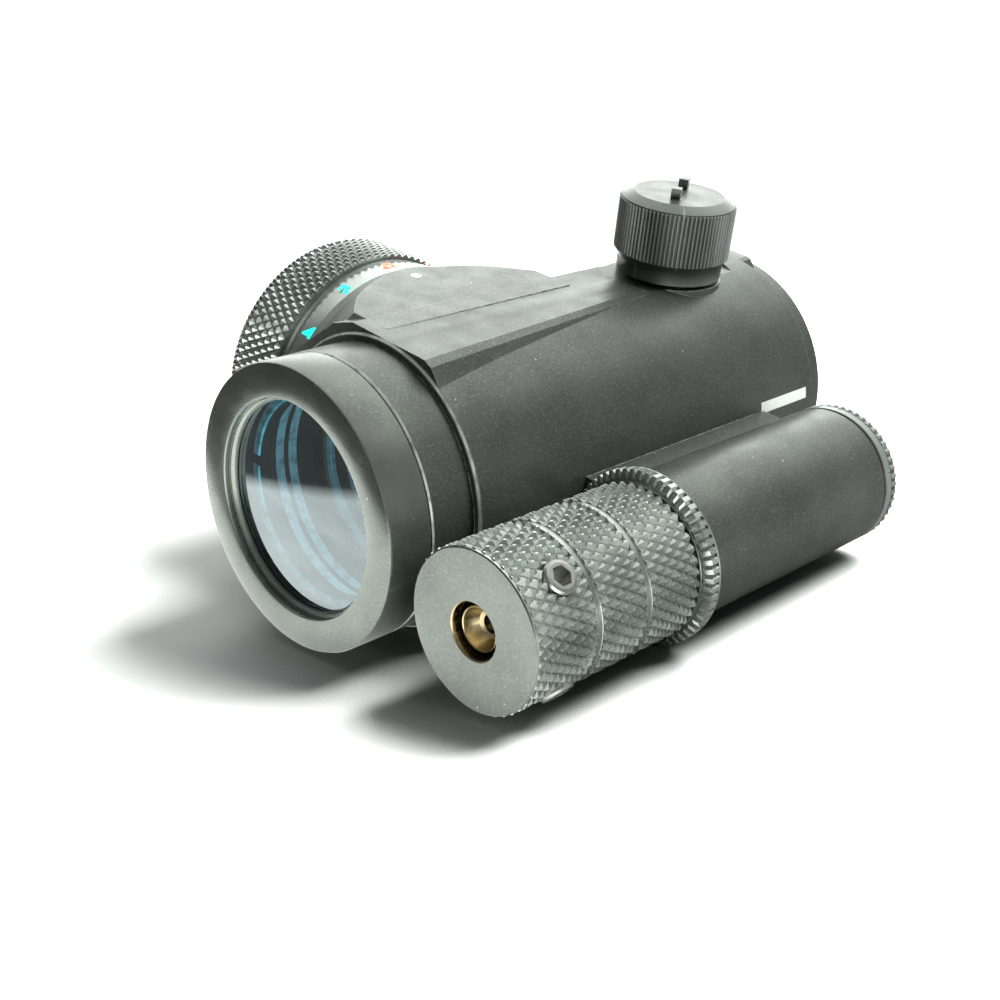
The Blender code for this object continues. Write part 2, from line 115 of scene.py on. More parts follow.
# Main sizes, read from the frame
NECK_RADIUS = extent("objective_bezel").x / 2
CAP_RADIUS = extent("elevation_cap").x / 2
CAP_FOOT = low_corner("elevation_cap").z - AXIS_HEIGHT
KNOB_RADIUS = extent("dial_knob").z / 2
DIAL_FACE = -high_corner("dial_knob").x
KNOB_END = -low_corner("dial_knob").x
COVER_END = -low_corner("battery_cover").x
COVER_RADIUS = extent("battery_cover").z / 2
SLEEVE_RADIUS = extent("laser_sleeve").x / 2
SLEEVE_FRONT = front_of("laser_sleeve")
SLEEVE_REAR = rear_of("laser_sleeve")
RING_RADIUS = extent("lock_ring").x / 2
RING_FRONT = front_of("lock_ring")
RING_REAR = rear_of("lock_ring")
BARREL_RADIUS = extent("laser_barrel").x / 2
BARREL_REAR = rear_of("laser_barrel")
TAIL_START = BARREL_REAR + 0.3
TAIL_END = rear_of("tail_cap")
BUTTON_END = rear_of("tail_button")
REAR_FACE = rear_of("eyepiece_bezel")

# Housing
BODY_RADIUS = 15.88
BODY_FRONT = 10.83
BODY_STEP = 66.8
BODY_REAR = 70.2
RIM_RADIUS = 14.9
BORE_RADIUS = 12.6
THREAD_RADIUS = 13.0
NECK_FRONT = 5.4
CROWN_TOP = 16.0
BOSS_END = DIAL_FACE - 0.3
BOSS_Y = 26.6
STEM_RADIUS = 4.6
SADDLE_RADIUS = SLEEVE_RADIUS + 0.1
LENS_FRONT = front_of("objective_lens")
GLASS_RADIUS = 11.6          # both glasses and the rings that hold them
BEZEL_THREAD = 12.7          # root of the bezels' threads
BEZEL_BORE = 11.9
TURRET_BASE = 6.3
CAP_WAIST = 18.2
CAP_FACE = 5.3
TRIM = 2.0

# Knurls: pyramids or ridges round the piece, length of a row along it, and depth of cut
SLEEVE_DIAMONDS = 42
SLEEVE_ROW = 1.05
SLEEVE_DEPTH = 0.42
KNOB_DIAMONDS = 88
KNOB_ROW = 0.88
KNOB_DEPTH = 0.34
BLUNT = 0.22         # half-width of a pyramid's flat tip, in steps of its lattice
CAP_RIDGES = 86
RING_RIDGES = 60
COVER_RIDGES = 144
TAIL_RIDGES = 52

# Camera, measured in the part's own frame
CAMERA_PLACE = Vector((102.65, -119.95, 85.11))
CAMERA_AIM = Vector((0.26, -8.68, 7.42))
CAMERA_ROLL = 6.2
CAMERA_LENS = 53.3

# The part lies on the edge of its seat and on its lock ring, so the floor leans.
FLOOR_POINT = Vector((3.16, 0, -0.43))
FLOOR_LEAN = -11.6
FLOOR_RADIUS = 260
FLOOR_FADE = (120, 250)      # distances from its middle between which it fades out

# Light
LAMP_AIM = Vector((0, 0, 15))
KEY_POWER = 6.0
FILL_POWER = 0.5
SKY_BASE = 0.18
SKY_PATCHES = (      # soft bright patches: direction, cosine at which each starts, brightness
    ((-0.65, 0.62, 0.42), 0.50, 1.55),
    ((-0.62, 0.77, 0.10), 0.85, 2.0),
    ((0.0, 0.5, 0.87), 0.75, 0.8),
    ((0.80, 0.55, -0.20), 0.40, 0.15),
    ((0.90, -0.35, 0.10), 0.60, 0.5),
)
BACKDROP = 1.1       # brightness of the white that the camera sees
SKY_DIMMED = 0.85    # share of the sky that is held back from lighting matt surfaces
GLOW_NEAR = 2.9      # brightness of the floor in reflections
GLOW_BEYOND = 0.12
# Painted shade in reflections: the floor's glow is held back just beside the part.
GLOW_BESIDE = 0.12   # share of it that is left just to the right of the part
GLOW_RIGHT = 0.4     # farther off
GLOW_BEHIND = 0.15   # and farther off towards the rear
BESIDE_X = (-25, 15)         # spans over which each of these sets in, across and along
BESIDE_Y = (-46, -30)
RIGHT_X = (45, 110)
BEHIND_Y = (-10, 40)
TABLE_END = (-91.7, -85.7)   # span over which the bright table ends in front
TABLE_END_SLOPE = 0.42


# ---------------- shapes

class Lathe:
    """A turned piece grown ring by ring along its datum's axis."""

    def __init__(self, count):
        self.shape = bmesh.new()
        self.count = count
        self.first = None
        self.last = None
        self.edge_tops = {}

    def points(self, radii, station):
        """Points of one ring; the radii repeat round it, and a radius of 0 is one point."""
        if radii == [0]:
            return [self.shape.verts.new((0, 0, station))]
        verts = []
        for index in range(self.count):
            angle = math.tau * index / self.count
            radius = radii[index % len(radii)]
            verts.append(self.shape.verts.new((radius * math.cos(angle),
                                               radius * math.sin(angle), station)))
        return verts

    def bridge(self, near, far):
        """Faces between two rings."""
        for index in range(self.count):
            following = (index + 1) % self.count
            corners = [near[index % len(near)], near[following % len(near)],
                       far[following % len(far)], far[index % len(far)]]
            self.shape.faces.new(list(dict.fromkeys(corners)))

    def ring(self, radius, station):
        """Add one ring; radius may be a list that repeats round it."""
        radii = radius if isinstance(radius, list) else [radius]
        verts = self.points(radii, station)
        if self.last is not None:
            self.bridge(self.last, verts)
        else:
            self.first = verts
        self.last = verts

    def outline(self, points):
        """Add a ring for each (radius, station)."""
        for radius, station in points:
            self.ring(radius, station)

    def ridges(self, radius, depth, start, end, slope, duty=(1, 1, 0, 0)):
        """A straight knurl; duty says which of a ridge's points stand at the full radius."""
        foot = radius - depth
        high = [foot + depth * part for part in duty]
        self.ring(foot - 0.02, start)
        self.ring(foot, start)
        self.ring(high, start + slope)
        self.ring(high, end - slope)
        self.ring(foot, end)
        self.ring(foot - 0.02, end)

    def diamonds(self, radius, depth, start, end, row):
        """A diamond knurl: blunt pyramids at every other point of a lattice."""
        foot = radius - depth
        rows = max(2, round(abs(end - start) / row))
        lattice = [self.points([foot], start + (end - start) * level / rows)
                   for level in range(rows + 1)]
        step = (end - start) / rows
        edge_start = self.points([foot - 0.03], start)
        edge_end = self.points([foot - 0.03], end)
        if self.last is not None:
            self.bridge(self.last, edge_start)
        else:
            self.first = edge_start
        for level in range(rows + 1):
            for column in range(1 - level % 2, self.count, 2):
                self.pyramid(lattice, level, column, radius, start + step * level, step)
        for edge, level in ((edge_start, 0), (edge_end, rows)):
            self.seam(edge, lattice[level], level)
        spare = [vert for level in range(rows + 1)
                 for vert in lattice[level][1 - level % 2::2]]
        bmesh.ops.delete(self.shape, geom=spare, context="VERTS")
        self.last = edge_end

    def pyramid(self, lattice, level, column, radius, station, step):
        """One blunt pyramid over the lattice point, or half of one at the band's edge."""
        turn = math.tau / self.count

        def top(across, along):
            angle = turn * (column + across * BLUNT)
            return self.shape.verts.new((radius * math.cos(angle), radius * math.sin(angle),
                                         station + along * BLUNT * step))

        ring = [(-1, 0), (0, -1), (1, 0), (0, 1)]
        if level == len(lattice) - 1:
            ring = [(1, 0), (-1, 0), (0, -1)]
        elif level == 0:
            ring = [(1, 0), (0, 1), (-1, 0)]
        tops = [top(across, along) for across, along in ring]
        lows = [lattice[level + along][(column + across) % self.count]
                for across, along in ring]
        self.shape.faces.new(tops)
        for index in range(len(ring)):
            following = (index + 1) % len(ring)
            if ring[index][1] == 0 and ring[following][1] == 0:
                self.edge_tops.setdefault(level, {})[column] = (tops[index], tops[following],
                                                                ring[index][0])
                continue
            self.shape.faces.new((lows[index], lows[following], tops[following], tops[index]))

    def seam(self, edge, lows, level):
        """Wall between a plain ring and the cut pyramids at a band's edge."""
        for column, (first, second, side) in self.edge_tops.pop(level).items():
            left, right = (second, first) if side == 1 else (first, second)
            before, after = (column - 1) % self.count, (column + 1) % self.count
            self.shape.faces.new((edge[before], lows[before], left, edge[column]))
            self.shape.faces.new((edge[column], left, right))
            self.shape.faces.new((edge[column], right, lows[after], edge[after]))

    def close(self):
        """Join the last ring to the first."""
        self.bridge(self.last, self.first)


def finished_mesh(name, shape, sharp):
    """A bmesh in millimetres as a mesh in metres, smooth but for its sharp edges."""
    bmesh.ops.scale(shape, vec=(MM, MM, MM), verts=shape.verts)
    bmesh.ops.recalc_face_normals(shape, faces=shape.faces)
    mesh = bpy.data.meshes.new(name)
    shape.to_mesh(mesh)
    shape.free()
    mesh.shade_smooth()
    mesh.set_sharp_from_angle(angle=math.radians(sharp))
    return mesh


def add(name, data, point=(0, 0, 0), turn=(0, 0, 0)):
    """Add an object to the scene at a point in millimetres."""
    made = bpy.data.objects.new(name, data)
    made.location = Vector(point) * MM
    made.rotation_euler = turn
    bpy.context.scene.collection.objects.link(made)
    return made


def place(name, shape, datum, sharp=25):
    """Stand a bmesh in millimetres on its datum as an object in metres."""
    point, direction = datum
    return add(name, finished_mesh(name, shape, sharp), point, TURN[direction])


def turned(name, outline, datum, count=96, sharp=25):
    """A turned piece from (radius, station) points; solid if it starts on the axis."""
    lathe = Lathe(count)
    lathe.outline(outline)
    if outline[0][0] > 0:
        lathe.close()
    return place(name, lathe.shape, datum, sharp)


def rod(name, radius, start, end, datum, count=64):
    """A plain solid cylinder between two stations."""
    return turned(name, [(0, start), (radius, start), (radius, end), (0, end)], datum, count)


def block(name, low, high):
    """A box between two corners (x, station, z)."""
    size = Vector(high) - Vector(low)
    centre = (Vector(high) + Vector(low)) / 2
    shape = bmesh.new()
    bmesh.ops.create_cube(shape, size=1.0)
    matrix = Matrix.Translation(centre) @ Matrix.Diagonal((*size, 1))
    bmesh.ops.transform(shape, matrix=matrix, verts=shape.verts)
    return place(name, shape, (OPTICS[0], "up"))


def loft(name, front, rear, start, end):
    """A solid between two outlines (x, z) of the same number of points."""
    shape = bmesh.new()
    first = [shape.verts.new((x, start, z)) for x, z in front]
    last = [shape.verts.new((x, end, z)) for x, z in rear]
    shape.faces.new(first)
    shape.faces.new(reversed(last))
    for index in range(len(front)):
        following = (index + 1) % len(front)
        shape.faces.new((first[index], last[index], last[following], first[following]))
    return place(name, shape, (OPTICS[0], "up"))


def evaluated_mesh(piece):
    """A piece's mesh after its modifiers."""
    bpy.context.view_layer.update()
    evaluated = piece.evaluated_get(bpy.context.evaluated_depsgraph_get())
    return bpy.data.meshes.new_from_object(evaluated)


def combine(target, tools, operation):
    """Join, cut or clip the target with the tools, which are then removed."""
    step = target.modifiers.new(operation.lower(), "BOOLEAN")
    step.operation = operation
    step.solver = "EXACT"
    step.operand_type = "COLLECTION"
    group = bpy.data.collections.new(f"{target.name} {operation.lower()} tools")
    for tool in tools:
        bpy.context.scene.collection.objects.unlink(tool)
        group.objects.link(tool)
    bpy.context.scene.collection.children.link(group)
    step.collection = group
    mesh = evaluated_mesh(target)
    target.modifiers.clear()
    target.data = mesh
    for tool in tools:
        bpy.data.objects.remove(tool)
    bpy.data.collections.remove(group)


def reshape(piece, tools, operation, sharp):
    """Combine, then shade smooth but for sharp edges and for faces square to the axis."""
    combine(piece, tools, operation)
    piece.data.shade_smooth()
    piece.data.set_sharp_from_angle(angle=math.radians(sharp))
    for face in filter(square_to_axis, piece.data.polygons):
        face.use_smooth = False


def face_radius(face):
    """Distance of a face's centre from a turned piece's axis."""
    return math.hypot(face.center.x, face.center.y) / MM


def face_station(face):
    """Station of a face's centre along a turned piece's axis."""
    return face.center.z / MM


def square_to_axis(face):
    return abs(face.normal.z) > 0.9999


def refinish(piece, material, chosen):
    """Give the faces that a test chooses another finish."""
    piece.data.materials.append(material)
    for face in filter(chosen, piece.data.polygons):
        face.material_index = len(piece.data.materials) - 1


def dress(piece, material, body, slot, *nodes):
    """Give a piece its finish, let it ride on its body and stand for its CAD nodes."""
    piece.data.materials.clear()
    piece.data.materials.append(material)
    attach(piece, body)
    if nodes:
        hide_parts(*nodes)


# ---------------- finishes

class Tree:
    """A node tree, written as nested calls."""

    def __init__(self, owner):
        owner.use_nodes = True
        self.tree = owner.node_tree

    def node(self, kind, **settings):
        made = self.tree.nodes.new(kind)
        for key, value in settings.items():
            setattr(made, key, value)
        return made

    def feed(self, socket, value):
        """Link an output to a socket, or set the socket's value."""
        if isinstance(value, bpy.types.NodeSocket):
            self.tree.links.new(value, socket)
        elif isinstance(value, tuple) and len(value) == 3 and socket.type == "RGBA":
            socket.default_value = (*value, 1.0)
        else:
            socket.default_value = value

    def ramp(self, value, low, high, low_out=0.0, high_out=1.0, curve="LINEAR"):
        """Map a range to another, clamped."""
        mapped = self.node("ShaderNodeMapRange", interpolation_type=curve)
        for socket, part in zip(mapped.inputs, (value, low, high, low_out, high_out)):
            self.feed(socket, part)
        return mapped.outputs["Result"]

    def fade(self, value, span, first=0.0, last=1.0):
        """Go from one number to another over a span in millimetres."""
        return self.ramp(value, span[0] * MM, span[1] * MM, first, last)

    def math(self, operation, first, second=0.0):
        made = self.node("ShaderNodeMath", operation=operation)
        self.feed(made.inputs[0], first)
        self.feed(made.inputs[1], second)
        return made.outputs[0]

    def times(self, first, second):
        return self.math("MULTIPLY", first, second)

    def vector(self, operation, first, second=(0, 0, 0)):
        """Vector maths; a length and a dot product come out as numbers."""
        made = self.node("ShaderNodeVectorMath", operation=operation)
        self.feed(made.inputs[0], first)
        self.feed(made.inputs[1], second)
        return made.outputs["Value" if operation in ("LENGTH", "DOT_PRODUCT") else "Vector"]


class Nodes(Tree):
    """A material's nodes round its Principled shader."""

    def __init__(self, name):
        self.material = bpy.data.materials.new(name)
        super().__init__(self.material)
        self.shader = self.tree.nodes["Principled BSDF"]
        self.place = self.node("ShaderNodeTexCoord").outputs["Object"]

    def along(self):
        """Coordinates along the piece's own X, Y and Z; Z is the axis of a turned piece."""
        split = self.node("ShaderNodeSeparateXYZ")
        self.feed(split.inputs[0], self.place)
        return split.outputs

    def pointiness(self):
        return self.node("ShaderNodeNewGeometry").outputs["Pointiness"]

    def noise(self, size, detail, stretch=(1, 1, 1)):
        """Grey noise whose features are about the given size in millimetres."""
        mapping = self.node("ShaderNodeMapping")
        self.feed(mapping.inputs["Vector"], self.place)
        mapping.inputs["Scale"].default_value = stretch
        noise = self.node("ShaderNodeTexNoise")
        self.feed(noise.inputs["Vector"], mapping.outputs["Vector"])
        noise.inputs["Scale"].default_value = 1 / (size * MM)
        noise.inputs["Detail"].default_value = detail
        return noise.outputs["Fac"]

    def specks(self, spacing, size):
        """Sparse round specks: 1 inside, 0 outside."""
        cells = self.node("ShaderNodeTexVoronoi")
        self.feed(cells.inputs["Vector"], self.place)
        cells.inputs["Scale"].default_value = 1 / (spacing * MM)
        chance = self.node("ShaderNodeSeparateColor")
        self.feed(chance.inputs[0], cells.outputs["Color"])
        limit = self.times(self.ramp(chance.outputs[0], 0.55, 1.0), size / spacing)
        return self.math("LESS_THAN", cells.outputs["Distance"], limit)

    def mix(self, factor, first, second):
        """Blend two colours."""
        made = self.node("ShaderNodeMix", data_type="RGBA")
        self.feed(made.inputs["Factor"], factor)
        self.feed(made.inputs[6], first)
        self.feed(made.inputs[7], second)
        return made.outputs[2]

    def edges(self, radius):
        """How close a point is to a sharp edge: 0 on a flat, 1 on the edge."""
        plain = self.node("ShaderNodeNewGeometry").outputs["Normal"]
        return self.ramp(self.vector("DOT_PRODUCT", self.rounded(radius), plain), 0.995, 0.80)

    def rounded(self, radius):
        """The normal as if edges were rounded to a radius in millimetres."""
        made = self.node("ShaderNodeBevel", samples=6)
        made.inputs["Radius"].default_value = radius * MM
        return made.outputs["Normal"]

    def bump(self, height, distance, strength, radius=0.0):
        """A bumped normal, also rounded at edges if a radius is given."""
        made = self.node("ShaderNodeBump")
        made.inputs["Strength"].default_value = strength
        made.inputs["Distance"].default_value = distance * MM
        self.feed(made.inputs["Height"], height)
        if radius:
            self.feed(made.inputs["Normal"], self.rounded(radius))
        self.feed(self.shader.inputs["Normal"], made.outputs["Normal"])

    def set(self, **values):
        """Feed the shader's inputs; underscores stand for spaces."""
        for key, value in values.items():
            self.feed(self.shader.inputs[key.replace("_", " ")], value)
        return self.material


def anodised(name, tone=0.085, roughness=0.36, sparkle=0.5, edge_wear_and_highlight=0.7, painted_light_stations=(), band_half_width=0.06,
             painted_light_colour=(0.80, 0.85, 0.79), shine=0.0):
    """Satin black anodised aluminium: fine blasted grain with painted glints, dust, and pale edges,
    partly abraded and partly painted highlight.

    Pale bands of painted light are drawn round the given stations along the piece's axis, over the
    given half-width: highlight lines at the housing's seams, and bands of light seen inside the
    see-through tube. Shine stands for the light that a see-through tube scatters there, painted as
    a glow.
    """
    nodes = Nodes(name)
    patches = nodes.noise(9.0, 3)
    fine = nodes.noise(0.22, 2)
    dark = (tone * 0.84, tone * 0.92, tone * 0.82)
    pale = (tone * 1.13, tone * 1.26, tone * 1.10)
    body = nodes.mix(nodes.ramp(patches, 0.35, 0.65), dark, pale)
    # Painted glints: specks of the fine grain are painted lighter.
    glint = (tone * 2.6, tone * 2.8, tone * 2.5)
    body = nodes.mix(nodes.ramp(fine, 0.5, 0.75, 0.0, sparkle), body, glint)
    # Painted light: pale bands round the given stations, with a glow of the same colour where shine
    # is set.
    if painted_light_stations:
        uneven = nodes.ramp(nodes.noise(1.2, 3), 0.30, 0.55, 0.35, 1.0)
        lines = 0.0
        for station in painted_light_stations:
            away = nodes.math("ABSOLUTE", nodes.math("SUBTRACT", nodes.along()[2], station * MM))
            line = nodes.times(nodes.fade(away, (band_half_width + 0.08, band_half_width)), uneven)
            lines = nodes.math("ADD", lines, line)
        body = nodes.mix(lines, body, painted_light_colour)
        nodes.set(Emission_Color=painted_light_colour, Emission_Strength=nodes.times(lines, shine))
    # Pale edges: partly abraded metal, partly a painted highlight along sharp edges.
    scuffs_and_highlight = nodes.times(nodes.edges(0.22), nodes.ramp(nodes.noise(0.8, 3), 0.35, 0.62))
    body = nodes.mix(nodes.times(scuffs_and_highlight, edge_wear_and_highlight), body, (0.55, 0.58, 0.54))
    dust = nodes.specks(1.6, 0.11)
    body = nodes.mix(nodes.times(dust, 0.55), body, (0.62, 0.64, 0.60))
    rough = nodes.ramp(nodes.noise(3.0, 3), 0.3, 0.7, roughness - 0.05, roughness + 0.07)
    nodes.bump(fine, 0.012, 0.7, 0.12)
    return nodes.set(Base_Color=body, Roughness=rough, Metallic=0.75, Specular_IOR_Level=1.0)


def knurled(name, tone=0.36, roughness=0.20, metallic=0.9, tip_rub_and_highlight=0.35):
    """Anodised knurl whose tips are painted pale, partly rubbed and partly painted highlight, and
    whose valleys are darkened as painted shade.
    """
    nodes = Nodes(name)
    tips = nodes.ramp(nodes.pointiness(), 0.50, 0.58)
    valleys = nodes.ramp(nodes.pointiness(), 0.49, 0.42)
    fine = nodes.noise(0.25, 2)
    dark = (tone * 0.8, tone * 0.87, tone * 0.8)
    pale = (tone * 1.2, tone * 1.30, tone * 1.2)
    body = nodes.mix(nodes.ramp(nodes.noise(5.0, 2), 0.35, 0.65), dark, pale)
    # Painted highlight on the tips, partly standing for rubbed metal.
    body = nodes.mix(nodes.times(tips, tip_rub_and_highlight), body, (0.66, 0.72, 0.67))
    # Painted shade: the valleys are darkened towards black.
    body = nodes.mix(nodes.times(valleys, 0.35), body, (0.01, 0.012, 0.01))
    rough = nodes.ramp(fine, 0.3, 0.7, roughness - 0.06, roughness + 0.08)
    nodes.bump(fine, 0.01, 0.6)
    return nodes.set(Base_Color=body, Roughness=rough, Metallic=metallic, Specular_IOR_Level=1.0)


def metal(name, colour, roughness):
    """Bare metal with a fine uneven surface and a little tarnish."""
    nodes = Nodes(name)
    tarnish = nodes.ramp(nodes.noise(2.0, 4), 0.35, 0.7)
    dull = tuple(part * 0.72 for part in colour)
    fine = nodes.noise(0.4, 3)
    rough = nodes.ramp(fine, 0.3, 0.7, roughness * 0.8, roughness * 1.4)
    nodes.bump(fine, 0.01, 0.35)
    return nodes.set(Base_Color=nodes.mix(tarnish, colour, dull), Roughness=rough, Metallic=1.0)


def moulded(name, colour, roughness):
    """Moulded plastic or rubber with a fine texture."""
    nodes = Nodes(name)
    fine = nodes.noise(0.3, 3)
    pale = tuple(min(1.0, part * 1.5 + 0.01) for part in colour)
    body = nodes.mix(nodes.ramp(nodes.noise(2.5, 3), 0.3, 0.8), colour, pale)
    rough = nodes.ramp(fine, 0.3, 0.7, roughness - 0.06, roughness + 0.06)
    nodes.bump(fine, 0.02, 0.5)
    return nodes.set(Base_Color=body, Roughness=rough)


def paint(name, colour, glow=0.0):
    """Filled paint with a slightly uneven surface and a painted glow of its own colour."""
    nodes = Nodes(name)
    fine = nodes.noise(0.3, 2)
    dull = tuple(part * 0.86 for part in colour)
    nodes.bump(fine, 0.01, 0.4)
    # Painted light: the paint emits its own colour, so it looks brighter than the lamps alone make
    # it.
    nodes.set(Emission_Color=colour, Emission_Strength=glow)
    return nodes.set(Base_Color=nodes.mix(fine, colour, dull), Roughness=0.5)


def coated_glass(name, tint, sheen, share, front=0.0):
    """Thin coated glass: tinted see-through with a coloured reflection on its outside.

    The coating's reflection is that of a flatter surface, more so the larger front is.
    """
    nodes = Nodes(name)
    tree = nodes.tree
    tree.nodes.remove(nodes.shader)
    clear = nodes.node("ShaderNodeBsdfTransparent")
    nodes.feed(clear.inputs["Color"], tint)
    mirror = nodes.node("ShaderNodeBsdfGlossy")
    streaks = nodes.noise(2.2, 3, (0.25, 1, 1))
    nodes.feed(mirror.inputs["Color"], nodes.mix(nodes.ramp(streaks, 0.3, 0.7), sheen,
                                                 tuple(part * 0.82 for part in sheen)))
    nodes.feed(mirror.inputs["Roughness"], 0.04)
    geometry = nodes.node("ShaderNodeNewGeometry")
    flatter = nodes.vector("ADD", geometry.outputs["Normal"], (0, -front, 0))
    nodes.feed(mirror.inputs["Normal"], nodes.vector("NORMALIZE", flatter))
    rim = nodes.node("ShaderNodeLayerWeight")
    rim.inputs["Blend"].default_value = 0.35
    blend = nodes.node("ShaderNodeMixShader")
    outside = nodes.math("SUBTRACT", 1.0, geometry.outputs["Backfacing"])
    reflected = nodes.ramp(rim.outputs["Fresnel"], 0.0, 1.0, share, 1.0)
    nodes.feed(blend.inputs[0], nodes.times(reflected, outside))
    nodes.feed(blend.inputs[1], clear.outputs[0])
    nodes.feed(blend.inputs[2], mirror.outputs[0])
    nodes.feed(tree.nodes["Material Output"].inputs["Surface"], blend.outputs[0])
    return nodes.material


# Colour of painted light: pale bands that stand for light seen inside the see-through tube.
PAINTED_BAND_LIGHT = (0.82, 0.86, 0.88)
BLACK = anodised("satin_black")
# Painted highlight lines just behind the neck's front and the body's front edge.
HOUSING_BLACK = anodised("satin_black_housing", painted_light_stations=(NECK_FRONT + 0.1, BODY_FRONT + 0.15))
DISC = anodised("satin_black_face", tone=0.12, roughness=0.23, sparkle=0.25, edge_wear_and_highlight=0.35)
BEZEL = anodised("satin_black_bezel", tone=0.12, roughness=0.23, sparkle=0.3, edge_wear_and_highlight=0.2)
THROAT = anodised("bezel_throat", tone=0.24, roughness=0.28, sparkle=0.2, edge_wear_and_highlight=0.2)
KNURL = knurled("knurled_black")
FINE_KNURL = knurled("fine_knurl_black", tone=0.045, roughness=0.34, metallic=0.6, tip_rub_and_highlight=0.3)
INNER = anodised("inner_matt_black", tone=0.03, roughness=0.55, edge_wear_and_highlight=0.2)
# Painted light: the glass rings, baffle and ridged tube get pale glowing bands for light seen
# inside the tube.
GLASS_RING = anodised("glass_ring_black", tone=0.05, roughness=0.35, edge_wear_and_highlight=0.2,
                      painted_light_stations=(front_of("objective_retainer") + 0.05,), shine=0.12)
BAFFLE = anodised("baffle_black", tone=0.03, roughness=0.4, sparkle=0.0, edge_wear_and_highlight=0.0,
                  painted_light_stations=(7.6, 9.3), band_half_width=0.5, painted_light_colour=PAINTED_BAND_LIGHT, shine=0.32)
RIDGED = anodised("ridged_black", tone=0.16, roughness=0.30, edge_wear_and_highlight=0.2,
                  painted_light_stations=(13.1, 15.6, 18.0), band_half_width=0.5, painted_light_colour=PAINTED_BAND_LIGHT, shine=0.16)
BRASS = metal("turned_brass", (0.50, 0.41, 0.24), 0.26)
STEEL = metal("bright_steel", (0.62, 0.62, 0.60), 0.25)
SCREW_STEEL = metal("rubbed_steel", (0.60, 0.60, 0.56), 0.30)
CELL = metal("cell_nickel", (0.72, 0.72, 0.69), 0.22)
RUBBER = moulded("black_rubber", (0.022, 0.022, 0.022), 0.62)
PLASTIC = moulded("black_plastic", (0.035, 0.035, 0.036), 0.5)
BOARD = moulded("green_board", (0.02, 0.12, 0.05), 0.4)
# The white, red and teal paints glow as painted light.
WHITE_PAINT = paint("white_paint", (0.86, 0.88, 0.85), 0.15)
STRIPE_PAINT = paint("worn_stripe_paint", (0.50, 0.53, 0.50))
RED_PAINT = paint("red_paint", (0.95, 0.16, 0.08), 0.9)
TEAL_PAINT = paint("teal_paint", (0.02, 0.72, 0.62), 0.9)
OBJECTIVE_COAT = coated_glass("objective_coating", (0.45, 0.74, 0.82), (0.88, 0.98, 1.0), 0.12, 6.0)
EYEPIECE_COAT = coated_glass("eyepiece_coating", (0.80, 0.90, 0.88), (0.55, 0.80, 0.72), 0.10)
LASER_GLASS = coated_glass("laser_glass", (0.80, 0.45, 0.40), (0.75, 0.80, 0.85), 0.25)


# ---------------- housing

def crown():
    """Flat-topped rib along the housing, whose right flank runs out towards the rear."""
    front = [(-8.5, 14.9), (-5.2, CROWN_TOP), (5.9, 15.75), (6.9, 15.3), (8.6, 13.3),
             (8.6, 8.0), (-8.5, 8.0)]
    rear = [(-5.6, 14.1), (-4.6, 15.85), (1.4, 15.72), (2.0, 15.55), (3.2, 14.2),
            (3.2, 8.0), (-5.6, 8.0)]
    return loft("crown tool", front, rear, BODY_FRONT - TRIM, 69.0)


def dial_boss():
    """Left shoulder and the tapered boss that carries the dial."""
    outline = [(0, 2), (20.9, 2), (20.9, 7.4), (18.8, 11.1), (16.4, 14.2), (15.6, BOSS_END),
               (0, BOSS_END)]
    boss = turned("boss tool", outline, (on_axis(BOSS_Y), "left"))
    low = (-BOSS_END - 1, BODY_FRONT - TRIM, -AXIS_HEIGHT - TRIM)
    high = (-1, 60, CROWN_TOP - 0.05)
    combine(boss, [block("boss clip tool", low, high)], "INTERSECT")
    return boss


def shoulder():
    """Sloping left shoulder between the crown and the dial boss."""
    bottom = -AXIS_HEIGHT - 0.5
    side = [(-3, 14.4), (-8.3, 14.8), (-14.2, 9.9), (-14.2, -9.9), (-8.0, bottom), (-3, bottom)]
    return loft("shoulder tool", side, side, BODY_FRONT - TRIM, 41.3)


def housing_cuts():
    """Everything that is cut out of the housing."""
    bore = [(0, 0), (THREAD_RADIUS, 0), (THREAD_RADIUS, 12.2), (BORE_RADIUS, 12.2),
            (BORE_RADIUS, 61.4), (THREAD_RADIUS, 61.4), (THREAD_RADIUS, 80), (0, 80)]
    chamfer = 0.3
    front_face = [(NECK_RADIUS, 0), (40, 0), (40, BODY_FRONT),
                  (BODY_RADIUS + 0.02, BODY_FRONT + chamfer),
                  (BODY_RADIUS - chamfer, BODY_FRONT), (NECK_RADIUS, BODY_FRONT)]
    cuts = [
        turned("bore tool", bore, OPTICS),
        turned("front face tool", front_face, OPTICS, count=128),
        rod("saddle nest tool", SADDLE_RADIUS, 20, 62, LASER, 96),
        rod("cable hole tool", 1.6, 8, 22, DIAL, 32),
        block("seat tool", (-30, -5, -30), (30, 80, -AXIS_HEIGHT)),
    ]
    for label, datum in TURRETS.items():
        well = [(0, 5), (1.9, 5), (1.9, 13.9), (3.0, 13.9), (3.0, 30), (0, 30)]
        foot = CAP_FOOT - 0.3
        face = [(STEM_RADIUS, foot), (8.6, foot), (8.6, 30), (STEM_RADIUS, 30)]
        cuts.append(turned(f"{label} well tool", well, datum, count=40))
        cuts.append(turned(f"{label} face tool", face, datum, count=80))
    for station in (24.7, 52.7):
        below = (Vector((0, FRONT_Y + station, 0)), "up")
        cuts.append(rod("base hole tool", 1.25, -3, 2.0, below, 32))
    return cuts


